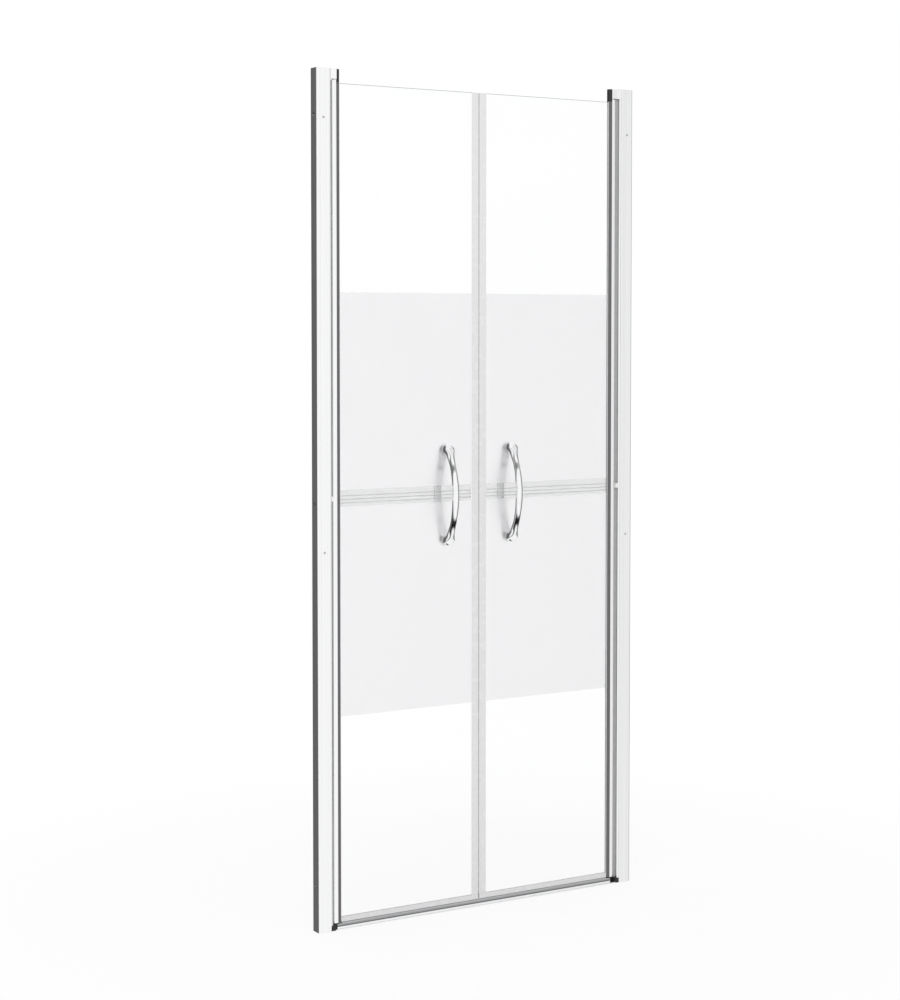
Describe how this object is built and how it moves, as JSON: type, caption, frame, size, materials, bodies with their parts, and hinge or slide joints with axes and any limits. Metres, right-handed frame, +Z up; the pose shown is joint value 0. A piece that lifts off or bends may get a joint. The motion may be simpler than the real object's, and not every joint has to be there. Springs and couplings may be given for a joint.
{
  "type": "shower door",
  "caption": "Saloon shower door for a niche: half-frosted glass leaves swing both ways on slim hinge posts between wall profiles, with chrome bow handles and a low threshold bar.",
  "frame": {"origin": "on the floor, midway between the two wall faces and in the middle of the glass thickness", "axes": "+X to the right seen from outside the shower, +Y into the shower, +Z up"},
  "size_m": [0.845, 0.0994, 1.9],
  "materials": {
    "bright_aluminium": "bright polished and anodised extrusion",
    "threshold_aluminium": "satin anodised extrusion",
    "chrome": "chrome plated, mirror bright",
    "steel": "plain stainless steel",
    "glass": "toughened glass, clear above and below, frosted across the middle half of its height",
    "clear_seal": "soft translucent plastic",
    "decor_strip": "translucent ribbed plastic",
    "white_plastic": "moulded white plastic",
    "black_plastic": "moulded black plastic",
    "trim_rubber": "smooth dark rubber",
    "magnet": "flexible magnet strip"
  },
  "bodies": {
    "frame": {"left_wall_profile": "bright_aluminium", "right_wall_profile": "bright_aluminium", "left_hinge_jamb": "bright_aluminium", "right_hinge_jamb": "bright_aluminium", "left_top_cap": "chrome", "right_top_cap": "chrome", "left_top_bearing": "black_plastic", "right_top_bearing": "black_plastic", "left_bottom_cap": "black_plastic", "right_bottom_cap": "black_plastic", "left_top_pin": "steel", "right_top_pin": "steel", "left_bottom_pin": "steel", "right_bottom_pin": "steel", "left_post_seal": "clear_seal", "right_post_seal": "clear_seal", "left_post_guide": "white_plastic", "right_post_guide": "white_plastic", "threshold_bar": "threshold_aluminium", "jamb_lock_screws": "steel", "cap_screws": "steel"},
    "left_leaf": {"left_glass": "glass", "left_hinge_post": "bright_aluminium", "left_glazing_gasket": "clear_seal", "left_post_trims": "trim_rubber", "left_post_cover": "black_plastic", "left_top_bush": "white_plastic", "left_bottom_bush": "black_plastic", "left_magnet_seal": "clear_seal", "left_magnet_strip": "magnet", "left_bottom_seal": "clear_seal", "left_decor_strip": "decor_strip", "left_outer_handle": "chrome", "left_inner_handle": "chrome", "left_handle_studs": "steel", "left_handle_sleeves": "clear_seal", "left_handle_washers": "clear_seal"},
    "right_leaf": {"right_glass": "glass", "right_hinge_post": "bright_aluminium", "right_glazing_gasket": "clear_seal", "right_post_trims": "trim_rubber", "right_post_cover": "black_plastic", "right_top_bush": "white_plastic", "right_bottom_bush": "black_plastic", "right_magnet_seal": "clear_seal", "right_magnet_strip": "magnet", "right_bottom_seal": "clear_seal", "right_decor_strip": "decor_strip", "right_outer_handle": "chrome", "right_inner_handle": "chrome", "right_handle_studs": "steel", "right_handle_sleeves": "clear_seal", "right_handle_washers": "clear_seal"}
  },
  "joints": [
    {"name": "left_leaf_swing", "type": "hinge", "parent": "frame", "child": "left_leaf", "pos_m": [-0.371, 0, 0], "axis": [0, 0, -1], "range_deg": [-85, 85]},
    {"name": "right_leaf_swing", "type": "hinge", "parent": "frame", "child": "right_leaf", "pos_m": [0.371, 0, 0], "axis": [0, 0, 1], "range_deg": [-85, 85]}
  ]
}
